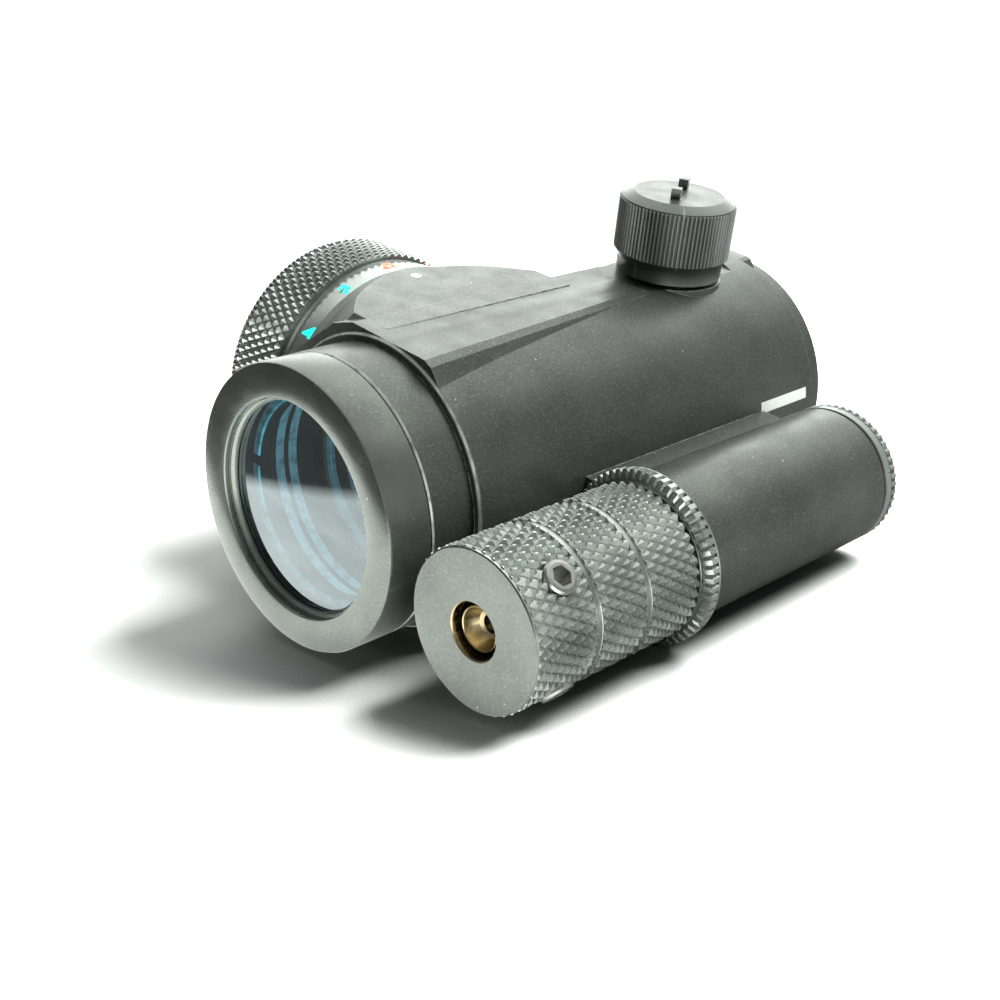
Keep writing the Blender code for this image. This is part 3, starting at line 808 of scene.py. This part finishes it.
def housing():
    """Tube body with its crown, dial boss, turret stems, laser saddle and flat seat."""
    outline = [(0, NECK_FRONT), (NECK_RADIUS - 0.18, NECK_FRONT), (NECK_RADIUS, NECK_FRONT + 0.18),
               (NECK_RADIUS, BODY_FRONT - TRIM), (BODY_RADIUS, BODY_FRONT - TRIM),
               (BODY_RADIUS, BODY_STEP), (RIM_RADIUS, BODY_STEP + 1.4),
               (RIM_RADIUS, BODY_REAR - 0.4), (RIM_RADIUS - 0.4, BODY_REAR), (0, BODY_REAR)]
    shell = turned("body_shell", outline, OPTICS, count=128)
    additions = [
        crown(),
        dial_boss(),
        shoulder(),
        block("saddle tool", (11, 26.1, -5.8), (21.6, 57.0, 3.0)),
    ]
    for label, datum in TURRETS.items():
        additions.append(rod(f"{label} base tool", TURRET_BASE, 10.5, 20.4, datum, 80))
    combine(shell, additions, "UNION")
    reshape(shell, housing_cuts(), "DIFFERENCE", 11)
    dress(shell, HOUSING_BLACK, "housing", "body_anodised", "main_housing")


def printed_stripe():
    """Plain white stripe printed on the right flank of the body."""
    inner, outer = BODY_RADIUS + 0.01, BODY_RADIUS + 0.04
    low, high = math.asin(2.7 / inner), math.asin(4.0 / inner)
    angles = [low + (high - low) * step / 8 for step in range(9)]
    outline = [(inner * math.cos(angle), inner * math.sin(angle)) for angle in angles]
    outline += [(outer * math.cos(angle), outer * math.sin(angle)) for angle in reversed(angles)]
    stripe = loft("printed_stripe", outline, outline, 56.6, 65.6)
    dress(stripe, STRIPE_PAINT, "housing", "body_anodised")


def index_dot():
    """White paint dot beside the dial, against which its numbers are read."""
    point = Vector((-12.9, FRONT_Y + BOSS_Y, AXIS_HEIGHT))
    top = CROWN_TOP - 0.05
    outline = [(0, top + 0.05), (0.5, top + 0.05), (0.6, top + 0.01), (0, top + 0.01)]
    dot = turned("index_dot", outline, (point, "up"), count=32)
    dress(dot, WHITE_PAINT, "housing", "body_anodised")


# ---------------- optics

def front_bezel():
    """Front bezel: a chamfered ring with a rounded lip and a stepped throat."""
    mouth, throat, rear = 11.4, 10.95, NECK_FRONT - 0.12
    outline = [(mouth, 0.22), (mouth + 0.08, 0.06), (mouth + 0.22, 0), (NECK_RADIUS - 0.35, 0),
               (NECK_RADIUS - 0.1, 0.1), (NECK_RADIUS, 0.35), (NECK_RADIUS, rear - 0.18),
               (NECK_RADIUS - 0.18, rear), (BEZEL_THREAD, rear), (BEZEL_THREAD, 11.9),
               (BEZEL_BORE, 11.9), (BEZEL_BORE, 1.45), (throat, 1.45), (throat, 1.2),
               (throat + 0.1, 0.98), (mouth - 0.12, 0.78), (mouth - 0.04, 0.86),
               (mouth + 0.12, 0.8), (mouth, 0.62)]
    ring = turned("front_bezel", outline, OPTICS, count=160)
    dress(ring, BEZEL, "housing", "body_anodised", "objective_bezel")
    refinish(ring, THROAT, lambda face: face_radius(face) < mouth + 0.05)
    refinish(ring, BAFFLE, lambda face: face_radius(face) < 12.2 and face_station(face) > 3)


def front_glass():
    """Objective glass that is bowed at the front and hollowed less at the back."""
    bulge, edge = 0.7, 2.0
    back = LENS_FRONT + bulge + edge
    parts = [step / 10 for step in range(11)]
    front = [(GLASS_RADIUS * part, LENS_FRONT + bulge * part ** 2) for part in parts]
    hollow = [(GLASS_RADIUS * part, back - 0.4 * bulge * (1 - part ** 2)) for part in parts]
    glass = turned("front_glass", front + hollow[::-1], OPTICS, sharp=40)
    dress(glass, OBJECTIVE_COAT, "housing", "coated_glass", "objective_lens")


def rear_glass():
    flat = GLASS_RADIUS - 0.2
    outline = [(0, 66.2), (flat, 66.2), (GLASS_RADIUS, 66.4), (GLASS_RADIUS, 67.9), (flat, 68.1),
               (0, 68.1)]
    glass = turned("rear_glass", outline, OPTICS)
    dress(glass, EYEPIECE_COAT, "housing", "coated_glass", "eyepiece_window")


def inner_sleeve():
    """Aiming tube, ridged inside against stray light."""
    lathe = Lathe(96)
    lathe.outline([(9.9, 60.8), (10.7, 60.8), (10.7, 13.0)])
    station = 13.0
    while station < 59.0:
        lathe.outline([(9.9, station), (9.9, station + 0.5), (10.25, station + 0.9),
                       (10.25, station + 1.6)])
        station += 2.4
    lathe.close()
    sleeve = place("ridged_inner_tube", lathe.shape, OPTICS)
    slot = block("emitter slot tool", (-2.4, 54.0, -12), (2.4, 59.0, -8))
    reshape(sleeve, [slot], "DIFFERENCE", 25)
    dress(sleeve, RIDGED, "aiming_tube", "flat_black", "inner_tube")


def lock_rings():
    """Slotted rings that hold the front and rear glass."""
    for name, node in (("front_glass_ring", "objective_retainer"),
                       ("rear_glass_ring", "eyepiece_retainer")):
        start = front_of(node)
        ring = turned(name, [(10.6, start + 0.2), (10.8, start), (GLASS_RADIUS, start),
                             (GLASS_RADIUS, start + 1.9), (10.8, start + 1.9),
                             (10.6, start + 1.7)], OPTICS)
        slots = block("ring slot tool", (-20, start - 1, -0.6), (20, start + 0.7, 0.6))
        reshape(ring, [slots], "DIFFERENCE", 25)
        dress(ring, GLASS_RING, "housing", "flat_black", node)


def rear_bezel():
    """Eyepiece bezel with a bevelled mouth and a fine groove."""
    rim = 13.4
    outline = [(10.6, REAR_FACE - 0.15), (10.6, 68.4), (BEZEL_BORE, 68.4), (BEZEL_BORE, 62.0),
               (BEZEL_THREAD, 62.0), (BEZEL_THREAD, 70.5), (rim, 70.5), (rim, 71.2),
               (rim - 0.15, 71.3), (rim, 71.4), (rim, 71.7), (rim - 0.3, REAR_FACE),
               (11.3, REAR_FACE), (10.8, REAR_FACE - 0.25)]
    ring = turned("rear_bezel", outline, OPTICS, count=128)
    dress(ring, BLACK, "housing", "body_anodised", "eyepiece_bezel")


# ---------------- turrets and dial

def turret_caps():
    for label, datum in TURRETS.items():
        turret_cap(label, datum)


def turret_cap(label, datum):
    """Cap with a fine straight knurl, a chamfered crown and two prongs."""
    top = high_corner("elevation_cap").z - AXIS_HEIGHT - 1.2
    lathe = Lathe(4 * CAP_RIDGES)
    lathe.outline([(0, top), (CAP_FACE, top), (CAP_RADIUS - 0.22, 24.42)])
    lathe.ridges(CAP_RADIUS, 0.15, 24.3, CAP_WAIST, -0.12)
    lathe.outline([(6.6, CAP_WAIST - 0.05), (6.25, 17.5), (6.2, 17.3), (6.2, CAP_FOOT + 0.15),
                   (6.05, CAP_FOOT), (4.9, CAP_FOOT), (4.9, 20.9), (0, 20.9)])
    cap = place(f"{label}_cap_fine", lathe.shape, datum)
    across = cap.rotation_euler.to_matrix() @ Matrix.Rotation(math.radians(119), 3, "Z")
    prongs = []
    for side in (-2.4, 2.4):
        low, high = (side - 0.55, -0.55, top - 0.5), (side + 0.55, 0.55, top + 1.2)
        prong = block(f"{label} prong tool", low, high)
        prong.location = cap.location
        prong.rotation_euler = across.to_euler()
        prongs.append(prong)
    reshape(cap, prongs, "UNION", 24)
    dress(cap, FINE_KNURL, f"{label}_cap", "knurl_anodised", f"{label}_cap")
    refinish(cap, BLACK, square_to_axis)


def dial_knob():
    """Brightness dial: a diamond-knurled rim over a plain skirt that carries the numbers."""
    recess = DIAL_FACE + 3.5
    lathe = Lathe(2 * KNOB_DIAMONDS)
    lathe.outline([(12.5, KNOB_END), (14.6, KNOB_END), (14.9, KNOB_END - 0.25)])
    lathe.diamonds(KNOB_RADIUS, KNOB_DEPTH, KNOB_END - 0.3, 21.3, KNOB_ROW)
    lathe.outline([(14.9, 21.25), (14.95, 20.8), (14.75, 20.6), (14.75, 20.3), (14.95, 20.1),
                   (15.0, 19.9), (15.45, DIAL_FACE + 0.15), (15.35, DIAL_FACE), (13.9, DIAL_FACE),
                   (13.9, recess), (12.5, recess)])
    lathe.close()
    knob = place("dial_knob_fine", lathe.shape, DIAL)
    dress(knob, KNURL, "dial", "knurl_anodised", "dial_knob")


def battery_cover():
    """Cover with a ridged rim, a coin slot and two turned rings on its face."""
    lathe = Lathe(2 * COVER_RIDGES)
    lathe.outline([(0, COVER_END - 0.15), (8.6, COVER_END - 0.15), (8.75, COVER_END),
                   (11.6, COVER_END), (11.75, COVER_END - 0.2), (12.15, COVER_END - 0.2),
                   (12.3, COVER_END), (14.2, COVER_END), (14.7, COVER_END - 0.22)])
    lathe.ridges(COVER_RADIUS, 0.22, COVER_END - 0.25, 28.3, -0.12, (1, 0))
    lathe.outline([(10.1, 28.3), (10.1, 26.3), (0, 26.3)])
    cover = place("battery_cover_fine", lathe.shape, DIAL)
    slot = block("coin slot tool", (-7.5, -0.8, COVER_END - 1.1), (7.5, 0.8, 35))
    slot.location, slot.rotation_euler = cover.location, cover.rotation_euler
    reshape(cover, [slot], "DIFFERENCE", 24)
    dress(cover, FINE_KNURL, "battery_cover", "knurl_anodised", "battery_cover")
    refinish(cover, BLACK, square_to_axis)


def numeral(text, angle, material):
    """A figure printed on the dial's skirt, bent round it at an angle from its top."""
    curve = bpy.data.curves.new("numeral", "FONT")
    curve.body = text
    curve.size = 2.9
    curve.offset = 0.09
    curve.extrude = 0.02
    curve.resolution_u = 3
    curve.align_x = "CENTER"
    curve.align_y = "CENTER"
    holder = add("numeral", curve)
    mesh = evaluated_mesh(holder)
    bpy.data.objects.remove(holder)
    name = f"dial_mark_{'teal' if material is TEAL_PAINT else 'red'}_{text}"
    station = DIAL_FACE + 1.75
    radius = 15.27
    for vert in mesh.vertices:
        around = math.radians(angle) - vert.co.x / radius
        out = radius + 0.02 + vert.co.z
        vert.co = Vector((-(station + vert.co.y) * MM,
                          (DIAL[0].y + out * math.sin(around)) * MM,
                          (AXIS_HEIGHT + out * math.cos(around)) * MM))
    mesh.name = name
    dress(add(name, mesh), material, "dial", "knurl_anodised")


def numerals():
    """Off at the index, then red levels towards the rear, which run on into the green ones."""
    step = 24.5
    first = -3.0
    numeral("0", first, RED_PAINT)
    for level in range(1, 6):
        numeral(str(level), first - step * (6 - level), TEAL_PAINT)
        numeral(str(level), first + step * level, RED_PAINT)


# ---------------- laser

SCREW_STATION = 6.1
SCREW_ANGLES = {"upper": 52.0, "lower": -38.0}


def groove(lathe, station):
    """A shallow round-bottomed groove between two bands of knurl."""
    half, shoulder, depth = 0.4, 0.16, 0.14
    for step in range(9):
        angle = math.pi * step / 8
        lathe.ring(SLEEVE_RADIUS - shoulder - depth * math.sin(angle),
                   station - half * math.cos(angle))


def laser_head():
    """Front sleeve with three bands of diamond knurl and two turned grooves."""
    lathe = Lathe(2 * SLEEVE_DIAMONDS)
    lathe.outline([(2.84, 2.2), (2.84, SLEEVE_FRONT + 0.12), (2.96, SLEEVE_FRONT),
                   (7.95, SLEEVE_FRONT), (8.08, SLEEVE_FRONT + 0.1), (8.08, SLEEVE_FRONT + 0.28)])
    half = 0.41
    grooves = (9.17, 16.06)
    starts = [SLEEVE_FRONT + 0.3] + [station + half for station in grooves]
    ends = [station - half for station in grooves] + [SLEEVE_REAR - 0.1]
    for start, end in zip(starts, ends):
        lathe.diamonds(SLEEVE_RADIUS, SLEEVE_DEPTH, start, end, SLEEVE_ROW)
        if end + half in grooves:
            groove(lathe, end + half)
    lathe.outline([(7.7, SLEEVE_REAR), (6.7, SLEEVE_REAR), (6.7, 12.2), (4.1, 12.2), (4.1, 2.2)])
    lathe.close()
    sleeve = place("laser_head_knurled", lathe.shape, LASER)
    cuts = []
    for label, angle in SCREW_ANGLES.items():
        hole = [(0, 3), (1.55, 3), (1.55, 7.2), (1.78, 7.4), (1.78, 12), (0, 12)]
        cuts.append(aimed(turned(f"{label} hole tool", hole, LASER, count=40), angle))
    reshape(sleeve, cuts, "DIFFERENCE", 18)
    dress(sleeve, KNURL, "laser_head", "knurl_anodised", "laser_sleeve")
    refinish(sleeve, DISC,
             lambda face: face_station(face) < SLEEVE_FRONT + 0.09 or face_radius(face) < 6)
    refinish(sleeve, BRASS, lambda face: face_radius(face) < 3)


def aimed(piece, angle):
    """Turn a piece on the laser's datum to point outwards at the set screws' station."""
    out = Vector((math.cos(math.radians(angle)), 0, math.sin(math.radians(angle))))
    piece.location = (LASER[0] + Vector((0, SCREW_STATION, 0))) * MM
    piece.rotation_euler = out.to_track_quat("Z", "Y").to_euler()
    return piece


def set_screws():
    """Two hex-socket grub screws."""
    for label, angle in SCREW_ANGLES.items():
        outline = [(0, 3.75), (0.9, 3.75), (1.45, 4.3), (1.45, 7.3), (1.73, 7.5), (1.73, 8.2),
                   (1.6, 8.44), (1.3, 8.5), (0, 8.5)]
        screw = aimed(turned(f"grub_screw_{label}", outline, LASER, count=48), angle)
        hexagon = turned(f"{label} socket tool", [(0, 7.0), (1.08, 7.0), (1.08, 9.5), (0, 9.5)],
                         LASER, count=6)
        reshape(screw, [aimed(hexagon, angle)], "DIFFERENCE", 25)
        dress(screw, SCREW_STEEL, f"set_screw_{label}", "steel", f"set_screw_{label}")


def brass_module():
    """Brass laser module with a polished funnel round its aperture."""
    outline = [(0.95, 3.3), (1.35, 3.15), (1.75, 2.65), (1.98, 2.1), (2.08, 1.8), (2.17, 1.72),
               (2.24, 1.78), (2.26, 1.95), (2.26, 3.6), (3.3, 3.6),
               (3.3, 8.0), (3.15, 8.1), (3.15, 8.5), (3.3, 8.6), (3.3, 13.4), (0.95, 13.4),
               (0.95, 7.4), (2.0, 7.4), (2.0, 4.3), (0.95, 4.3)]
    module = turned("brass_module", outline, LASER, count=80)
    dress(module, BRASS, "laser_module", "brass", "laser_module")


def lock_ring():
    """Thin ring with a coarse straight knurl that locks the head."""
    lathe = Lathe(4 * RING_RIDGES)
    foot = RING_RADIUS - 0.36
    lathe.outline([(6.7, RING_FRONT), (8.05, RING_FRONT), (8.1, RING_FRONT + 0.05)])
    lathe.ring([8.55, 8.55, 8.55, 8.3], RING_FRONT + 0.12)
    lathe.ring([RING_RADIUS, RING_RADIUS, RING_RADIUS, foot], RING_FRONT + 0.42)
    lathe.ring([RING_RADIUS, RING_RADIUS, RING_RADIUS, foot], RING_REAR - 0.42)
    lathe.outline([(foot, RING_REAR - 0.36), (foot, RING_REAR - 0.3), (9.12, RING_REAR - 0.28),
                   (9.18, RING_REAR - 0.16), (9.0, RING_REAR), (6.7, RING_REAR)])
    lathe.close()
    ring = place("lock_ring_fine", lathe.shape, LASER)
    dress(ring, KNURL, "lock_ring", "knurl_anodised", "lock_ring")


def barrel():
    """Smooth barrel that holds the laser's cells."""
    outline = [(5.2, 14.0), (6.25, 14.0), (6.4, 14.15), (6.4, 25.8), (7.85, 25.8), (8.0, 25.95),
               (8.0, BARREL_REAR - 0.12), (7.88, BARREL_REAR), (6.4, BARREL_REAR), (6.4, 30.0),
               (5.2, 30.0)]
    piece = turned("laser_barrel_fine", outline, LASER, count=128)
    dress(piece, BLACK, "housing", "body_anodised", "laser_barrel")


def tail():
    """Tail cap with a serrated rim, and its domed rubber button."""
    lathe = Lathe(4 * TAIL_RIDGES)
    lathe.outline([(6.1, TAIL_START), (7.85, TAIL_START), (8.0, TAIL_START + 0.12), (8.0, 57.9),
                   (7.85, 57.96)])
    lathe.ridges(BARREL_RADIUS, 0.2, 58.0, TAIL_END - 0.2, 0.15)
    lathe.outline([(7.6, TAIL_END), (4.1, TAIL_END), (3.9, TAIL_END - 0.2), (3.9, 57.9),
                   (5.0, 57.9), (5.0, 55.0), (6.1, 55.0)])
    lathe.close()
    cap = place("tail_cap_fine", lathe.shape, LASER)
    dress(cap, FINE_KNURL, "tail_cap", "knurl_anodised", "tail_cap")
    turns = [step * math.pi / 20 for step in range(11)]
    dome = [(3.3 * math.sin(turn), BUTTON_END - 0.45 * (1 - math.cos(turn))) for turn in turns]
    outline = dome + [(3.6, BUTTON_END - 0.8), (3.6, 57.5), (4.6, 57.5), (4.6, 56.5), (0, 56.5)]
    button = turned("tail_button_fine", outline, LASER, count=64, sharp=40)
    dress(button, RUBBER, "tail_button", "rubber", "tail_button")


# ---------------- carried-over CAD nodes

NODE_FINISH = {
    "battery_well": INNER, "switch_board": BOARD, "switch_wiper": BRASS, "coin_cell": CELL,
    "battery_spring": STEEL, "battery_seal": RUBBER, "detent_ball": STEEL,
    "detent_spring": STEEL, "return_spring": STEEL, "elevation_screw": STEEL,
    "windage_screw": STEEL, "tube_pivot_ring": BRASS, "emitter_bracket": PLASTIC,
    "dot_emitter": STEEL, "laser_board": BOARD, "laser_spring": STEEL, "laser_cell_1": CELL,
    "laser_cell_2": CELL, "laser_cell_3": CELL, "laser_lens": LASER_GLASS,
    "module_ring": RUBBER,
}


def finish_nodes():
    """Smooth shading and a procedural finish for every CAD node that stays."""
    for name, material in NODE_FINISH.items():
        node = frame["nodes"][name]
        node.data.materials.clear()
        node.data.materials.append(material)
        weld = node.modifiers.new("weld", "WELD")
        weld.merge_threshold = 0.000001
        node.data.shade_smooth()
        split = node.modifiers.new("creases", "EDGE_SPLIT")
        split.split_angle = math.radians(32)


# ---------------- stage

def floor():
    """Pale floor that fades out away from the part.

    In reflections it is the overbright table of a high-key picture, which ends in front.
    """
    shape = bmesh.new()
    bmesh.ops.create_circle(shape, cap_ends=True, segments=96, radius=FLOOR_RADIUS)
    lean = (0, math.radians(FLOOR_LEAN), 0)
    sheet = add("floor", finished_mesh("floor", shape, 30), FLOOR_POINT, lean)
    nodes = Nodes("pale_floor")
    grain = nodes.noise(1.5, 2)
    across, along = nodes.along()[0], nodes.along()[1]
    beyond_end = nodes.math("ADD", along, nodes.times(across, TABLE_END_SLOPE))
    lit = nodes.fade(beyond_end, TABLE_END, GLOW_BEYOND, GLOW_NEAR)
    # Painted shade: the glow is held back just beside the part, where the part would shade the
    # floor.
    beside = nodes.times(nodes.fade(across, BESIDE_X), nodes.fade(along, BESIDE_Y))
    right = nodes.fade(along, BEHIND_Y, GLOW_RIGHT, GLOW_BEHIND)
    far = nodes.fade(across, RIGHT_X, GLOW_BESIDE, right)
    lit = nodes.times(lit, nodes.ramp(beside, 0.0, 1.0, 1.0, far))
    contact = nodes.node("ShaderNodeAmbientOcclusion", samples=4)
    contact.inputs["Distance"].default_value = 20 * MM
    # Painted shade: beside the part the glow darkens further where the AO node finds the part
    # close.
    occluded = nodes.times(beside, nodes.ramp(contact.outputs["AO"], 0.95, 0.3))
    lit = nodes.times(lit, nodes.math("SUBTRACT", 1.0, occluded))
    mirrored = nodes.node("ShaderNodeLightPath").outputs["Is Glossy Ray"]
    glow = nodes.times(lit, mirrored)
    plain = nodes.mix(grain, (0.93, 0.94, 0.93), (0.90, 0.91, 0.90))
    # Painted contact shadow: the floor's own colour darkens towards grey where the AO node finds
    # the part close.
    shaded = nodes.mix(nodes.ramp(contact.outputs["AO"], 0.15, 0.75), (0.22, 0.23, 0.22), plain)
    nodes.set(Base_Color=nodes.mix(mirrored, shaded, (0.05, 0.05, 0.05)), Roughness=0.8,
              Emission_Color=(0.97, 1.0, 0.98), Emission_Strength=glow, Specular_IOR_Level=0.0)
    nodes.set(Alpha=nodes.fade(nodes.vector("LENGTH", nodes.place), FLOOR_FADE, 1.0, 0.0))
    sheet.data.materials.append(nodes.material)


def world():
    """White to the camera; in reflections bright beyond the part and dim on the camera's side."""
    made = bpy.data.worlds.new("studio")
    bpy.context.scene.world = made
    sky = Tree(made)
    direction = sky.node("ShaderNodeTexCoord").outputs["Generated"]
    level = SKY_BASE
    for towards, start, brightness in SKY_PATCHES:
        facing = sky.vector("DOT_PRODUCT", direction, Vector(towards).normalized())
        patch = sky.ramp(facing, start, 1.0, 0.0, brightness, "SMOOTHSTEP")
        level = sky.math("ADD", level, patch)
    rays = sky.node("ShaderNodeLightPath").outputs
    held_back = sky.times(rays["Is Diffuse Ray"], SKY_DIMMED)
    level = sky.times(level, sky.math("SUBTRACT", 1.0, held_back))
    seen = rays["Is Camera Ray"]
    unseen = sky.times(level, sky.math("SUBTRACT", 1.0, seen))
    level = sky.math("ADD", unseen, sky.times(seen, BACKDROP))
    background = sky.tree.nodes["Background"].inputs
    sky.feed(background["Strength"], level)
    sky.feed(background["Color"], (0.97, 1.0, 0.98))


def softbox(name, point, across, power):
    """A square area light aimed at the part; it isn't seen in reflections."""
    lamp = bpy.data.lights.new(name, "AREA")
    lamp.shape = "RECTANGLE"
    lamp.size = lamp.size_y = across * MM
    lamp.energy = power
    lamp.color = (0.98, 1.0, 0.98)
    aim = (LAMP_AIM - Vector(point)).to_track_quat("-Z", "Y")
    add(name, lamp, point, aim.to_euler()).visible_glossy = False


def lights():
    """A key light behind and to the right, so that the shadows fall forwards and to the left."""
    softbox("key_softbox", (90, 185, 390), 220, KEY_POWER)
    softbox("fill_softbox", (-260, 60, 330), 260, FILL_POWER)


def camera():
    """Camera at the photograph's viewing angle."""
    lens = bpy.data.cameras.new("camera")
    lens.lens = CAMERA_LENS
    lens.sensor_width = 36
    lens.clip_start = 0.005
    aim = (CAMERA_AIM - CAMERA_PLACE).to_track_quat("-Z", "Y").to_matrix()
    roll = Matrix.Rotation(math.radians(CAMERA_ROLL), 3, "Z")
    bpy.context.scene.camera = add("camera", lens, CAMERA_PLACE, (aim @ roll).to_euler())


def main():
    """Build each piece and the stage, in this order."""
    for build in (housing, printed_stripe, index_dot, front_bezel, front_glass, rear_glass,
                  inner_sleeve, lock_rings, rear_bezel, turret_caps, dial_knob, battery_cover,
                  numerals, laser_head, set_screws, brass_module, lock_ring, barrel, tail,
                  finish_nodes, floor, world, lights, camera):
        build()
    bpy.context.scene.view_settings.view_transform = "Standard"


main()
